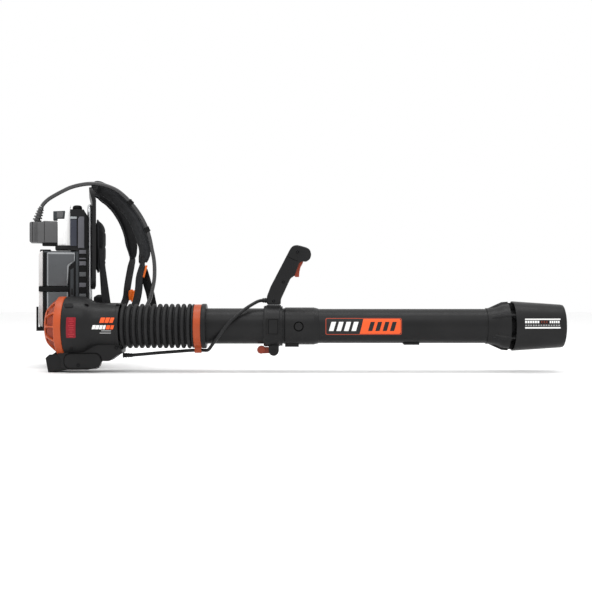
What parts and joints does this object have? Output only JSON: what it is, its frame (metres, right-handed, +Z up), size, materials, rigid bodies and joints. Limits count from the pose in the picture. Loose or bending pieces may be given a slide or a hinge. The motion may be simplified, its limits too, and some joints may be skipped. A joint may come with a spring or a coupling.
{
  "type": "backpack leaf blower",
  "caption": "Backpack leaf blower: battery hub on a harness, and an axial fan with bellows, air tube, control handle and round nozzle.",
  "frame": {"origin": "centre of the back pad's front face, where the wearer's back rests", "axes": "+X the way the blower points, +Y the wearer's left, +Z up"},
  "size_m": [1.3243, 0.4131, 0.4704],
  "materials": {
    "charcoal_plastic": "fine moulded texture",
    "black_plastic": "fine moulded texture",
    "orange_plastic": "satin moulded",
    "grey_plastic": "satin moulded",
    "silver_plastic": "satin metallic paint",
    "white_plastic": "satin",
    "rubber": "matte",
    "frame_aluminium": "satin anodised",
    "steel": "ground",
    "copper": "enamelled wire",
    "cell_steel": "shrink sleeve",
    "board_green": "lacquered",
    "pad_fabric": "spacer mesh",
    "strap_fabric": "mesh over foam",
    "webbing_fabric": "woven"
  },
  "bodies": {
    "pack": {"pack_frame": "frame_aluminium", "base_bracket": "frame_aluminium", "back_plate": "charcoal_plastic", "back_pad": "pad_fabric", "lumbar_pad": "pad_fabric", "strap_near": "strap_fabric", "strap_far": "strap_fabric", "webbing_near": "webbing_fabric", "webbing_far": "webbing_fabric", "waist_strap": "webbing_fabric", "strap_buckles": "orange_plastic", "cord_clips": "black_plastic", "hub_chassis": "charcoal_plastic", "hub_top": "charcoal_plastic", "power_socket": "white_plastic", "power_plug": "charcoal_plastic", "plug_relief": "rubber", "power_cord": "rubber", "housing_near": "charcoal_plastic", "housing_far": "charcoal_plastic", "intake_cage": "orange_plastic", "stator_vanes": "charcoal_plastic", "motor_stator": "copper", "motor_bearings": "steel", "controller_box": "charcoal_plastic", "controller_cover": "charcoal_plastic", "controller_board": "board_green", "mount_bracket": "black_plastic", "mount_arm": "frame_aluminium", "housing_screws": "steel", "bellows_rear": "rubber", "cable_rear": "rubber"},
    "rotor": {"motor_shaft": "steel", "fan_impeller": "charcoal_plastic"},
    "bellows_mid": {"bellows_ring": "rubber", "bellows_front": "rubber"},
    "tube": {"swivel_band": "orange_plastic", "rear_tube": "charcoal_plastic", "front_tube": "charcoal_plastic", "nozzle_cone": "charcoal_plastic", "cable_mid": "rubber", "cable_front": "rubber"},
    "nozzle": {"nozzle_sleeve": "charcoal_plastic"},
    "button": {"tube_button": "charcoal_plastic"},
    "handle": {"handle_clamp": "charcoal_plastic", "handle_near": "charcoal_plastic", "handle_far": "charcoal_plastic", "handle_screws": "steel", "trigger_switch": "black_plastic", "lever_pin": "steel"},
    "trigger": {"trigger": "orange_plastic"},
    "lever": {"clamp_lever": "orange_plastic"},
    "latch": {"plug_latch": "charcoal_plastic"},
    "switch": {"hub_button": "black_plastic"},
    "battery_upper": {"battery_upper_case": "grey_plastic", "battery_upper_cap": "silver_plastic", "battery_upper_cells": "cell_steel"},
    "battery_lower": {"battery_lower_case": "grey_plastic", "battery_lower_cap": "silver_plastic", "battery_lower_cells": "cell_steel"}
  },
  "joints": [
    {"name": "fan_spin", "type": "hinge", "parent": "pack", "child": "rotor", "pos_m": [-0.025, -0.225, -0.203], "axis": [1, 0, 0], "continuous": true},
    {"name": "bellows_pitch", "type": "hinge", "parent": "pack", "child": "bellows_mid", "pos_m": [0.122, -0.225, -0.203], "axis": [0, 1, 0], "range_deg": [-14, 14], "deforming": ["bellows_rear", "cable_rear"]},
    {"name": "bellows_yaw", "type": "hinge", "parent": "bellows_mid", "child": "tube", "pos_m": [0.216, -0.225, -0.203], "axis": [0, 0, 1], "range_deg": [-14, 14], "deforming": ["bellows_front", "cable_mid"]},
    {"name": "nozzle_slide", "type": "slide", "parent": "tube", "child": "nozzle", "axis": [1, 0, 0], "range_m": [-0.008, 0]},
    {"name": "tube_lock", "type": "slide", "parent": "tube", "child": "button", "axis": [0, 1, 0], "range_m": [0, 0.003], "stiffness_N_per_m": 700, "springref_m": -0.002},
    {"name": "handle_slide", "type": "slide", "parent": "tube", "child": "handle", "axis": [1, 0, 0], "range_m": [-0.06, 0], "deforming": ["cable_front"]},
    {"name": "trigger_pull", "type": "hinge", "parent": "handle", "child": "trigger", "pos_m": [0.512, -0.225, -0.044], "axis": [0, 1, 0], "range_deg": [0, 11], "stiffness_Nm_per_rad": 0.5, "springref_deg": -8.59},
    {"name": "clamp_open", "type": "hinge", "parent": "handle", "child": "lever", "pos_m": [0.449, -0.225, -0.2618], "axis": [0, -1, 0], "range_deg": [0, 95]},
    {"name": "latch_lift", "type": "hinge", "parent": "pack", "child": "latch", "pos_m": [-0.10714, -0.08297, 0.061], "axis": [0.1908, -0.9816, 0], "range_deg": [0, 10], "stiffness_Nm_per_rad": 0.3, "springref_deg": -8.59},
    {"name": "hub_switch", "type": "slide", "parent": "pack", "child": "switch", "axis": [0, 0, -1], "range_m": [0, 0.003], "stiffness_N_per_m": 700, "springref_m": -0.002},
    {"name": "battery_upper_pull", "type": "slide", "parent": "pack", "child": "battery_upper", "axis": [-0.9816, -0.1908, 0], "range_m": [0, 0.1]},
    {"name": "battery_lower_pull", "type": "slide", "parent": "pack", "child": "battery_lower", "axis": [-0.9816, -0.1908, 0], "range_m": [0, 0.1]}
  ]
}
